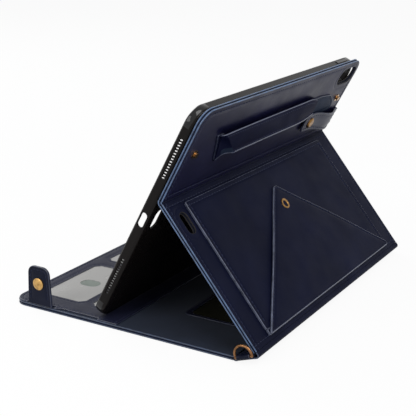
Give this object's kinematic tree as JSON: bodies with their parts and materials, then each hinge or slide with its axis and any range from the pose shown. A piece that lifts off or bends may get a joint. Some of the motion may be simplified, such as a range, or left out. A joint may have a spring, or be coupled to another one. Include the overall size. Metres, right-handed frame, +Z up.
{
  "type": "tablet folio case",
  "caption": "Folding leather tablet case propped as a stand, with a tablet shell, wallet windows, flap pocket, hand strap and snap tabs.",
  "frame": {"origin": "bottom centre of the bounding box of the propped case, on the table under the base", "axes": "+X along the hinges towards the side with the tablet shell's charging port, -Y towards the side that the tablet's screen faces, +Y towards the stand, +Z up"},
  "size_m": [0.2598, 0.2104, 0.1676],
  "materials": {
    "outer_leather": "semi-gloss smooth leather with painted edges",
    "wallet_leather": "semi-gloss smooth leather",
    "tab_leather": "semi-gloss smooth leather with painted edges",
    "strap_leather": "soft padded leather",
    "lining": "matt microfibre",
    "stiffener": "dense fibre board",
    "magnet_steel": "plated",
    "wallet_backing": "matt light grey",
    "window_film": "clear film over the light backing",
    "tinted_film": "dark tinted film",
    "brass": "polished",
    "ring_metal": "polished",
    "adhesive": "matt",
    "shell_plastic": "gloss",
    "soft_corner": "satin"
  },
  "bodies": {
    "base": {"base_outer_leather": "outer_leather", "base_board": "stiffener", "base_lining": "lining", "prop_magnets": "magnet_steel", "wake_magnets": "magnet_steel", "wallet_panel": "wallet_leather", "wallet_backing": "wallet_backing", "id_window_films": "window_film", "rear_window_frame": "wallet_leather", "rear_window_film": "tinted_film", "base_hinge_leather": "outer_leather"},
    "near_tab": {"near_closure_tab": "tab_leather", "near_tab_snap": "brass"},
    "far_tab": {"far_closure_tab": "tab_leather", "far_tab_snap": "brass"},
    "spine": {"spine_outer_leather": "outer_leather", "spine_board": "stiffener", "spine_lining": "lining", "spine_hinge_leather": "outer_leather", "near_ring_loop": "tab_leather", "far_ring_loop": "tab_leather"},
    "near_ring": {"near_d_ring": "ring_metal"},
    "far_ring": {"far_d_ring": "ring_metal"},
    "stand": {"stand_outer_leather": "outer_leather", "stand_board": "stiffener", "stand_lining": "lining", "document_pocket": "outer_leather", "pocket_stud": "brass", "flap_anchor": "outer_leather", "fold_hinge_leather": "outer_leather"},
    "flap": {"envelope_flap": "outer_leather", "flap_snap": "brass"},
    "upper": {"upper_outer_leather": "outer_leather", "upper_board": "stiffener", "upper_lining": "lining", "strap_near_anchor": "strap_leather", "hand_strap": "strap_leather", "strap_far_anchor": "strap_leather", "closure_studs": "brass", "keeper_stud": "brass", "bonding_pad": "adhesive", "shell_tray": "shell_plastic", "corner_bumpers": "soft_corner"},
    "keeper": {"keeper_tab": "tab_leather", "keeper_snap": "brass"},
    "volume_button": {"volume_cover": "soft_corner"},
    "power_button": {"power_cover": "soft_corner"}
  },
  "joints": [
    {"name": "base_spine_hinge", "type": "hinge", "parent": "base", "child": "spine", "pos_m": [0, 0.08776, 0.0022], "axis": [1, 0, 0], "range_deg": [-19.5, 0], "deforming": ["base_hinge_leather"]},
    {"name": "stand_hinge", "type": "hinge", "parent": "spine", "child": "stand", "pos_m": [0, 0.10304, 0.00761], "axis": [1, 0, 0], "range_deg": [-109.5, 0], "deforming": ["spine_hinge_leather"]},
    {"name": "fold_hinge", "type": "hinge", "parent": "stand", "child": "upper", "pos_m": [0, 0.03035, 0.10007], "axis": [1, 0, 0], "range_deg": [0, 67.2], "deforming": ["fold_hinge_leather"]},
    {"name": "flap_hinge", "type": "hinge", "parent": "stand", "child": "flap", "pos_m": [0, 0.10315, 0.01542], "axis": [1, 0, 0], "range_deg": [-125, 0]},
    {"name": "near_tab_hinge", "type": "hinge", "parent": "base", "child": "near_tab", "pos_m": [0.1254, -0.07863, 0.0042], "axis": [0, 1, 0], "range_deg": [-60, 88]},
    {"name": "far_tab_hinge", "type": "hinge", "parent": "base", "child": "far_tab", "pos_m": [-0.1254, -0.07863, 0.0042], "axis": [0, 1, 0], "range_deg": [-88, 60]},
    {"name": "near_ring_swing", "type": "hinge", "parent": "spine", "child": "near_ring", "pos_m": [0.128, 0.09517, 0.00556], "axis": [0, 0.9426, 0.3338], "range_deg": [0, 95]},
    {"name": "far_ring_swing", "type": "hinge", "parent": "spine", "child": "far_ring", "pos_m": [-0.128, 0.09517, 0.00556], "axis": [0, 0.9426, 0.3338], "range_deg": [-95, 0]},
    {"name": "keeper_hinge", "type": "hinge", "parent": "upper", "child": "keeper", "pos_m": [-0.1248, 0.04369, 0.11902], "axis": [0, 0.4726, 0.8813], "range_deg": [0, 120]},
    {"name": "volume_press", "type": "slide", "parent": "upper", "child": "volume_button", "axis": [0, -0.4726, -0.8813], "range_m": [0, 0.0004], "stiffness_N_per_m": 1500},
    {"name": "power_press", "type": "slide", "parent": "upper", "child": "power_button", "axis": [1, 0, 0], "range_m": [0, 0.0004], "stiffness_N_per_m": 1500}
  ],
  "couplings": [
    {"joint": "fold_hinge", "follows": "stand_hinge", "ratio": -0.6136}
  ]
}
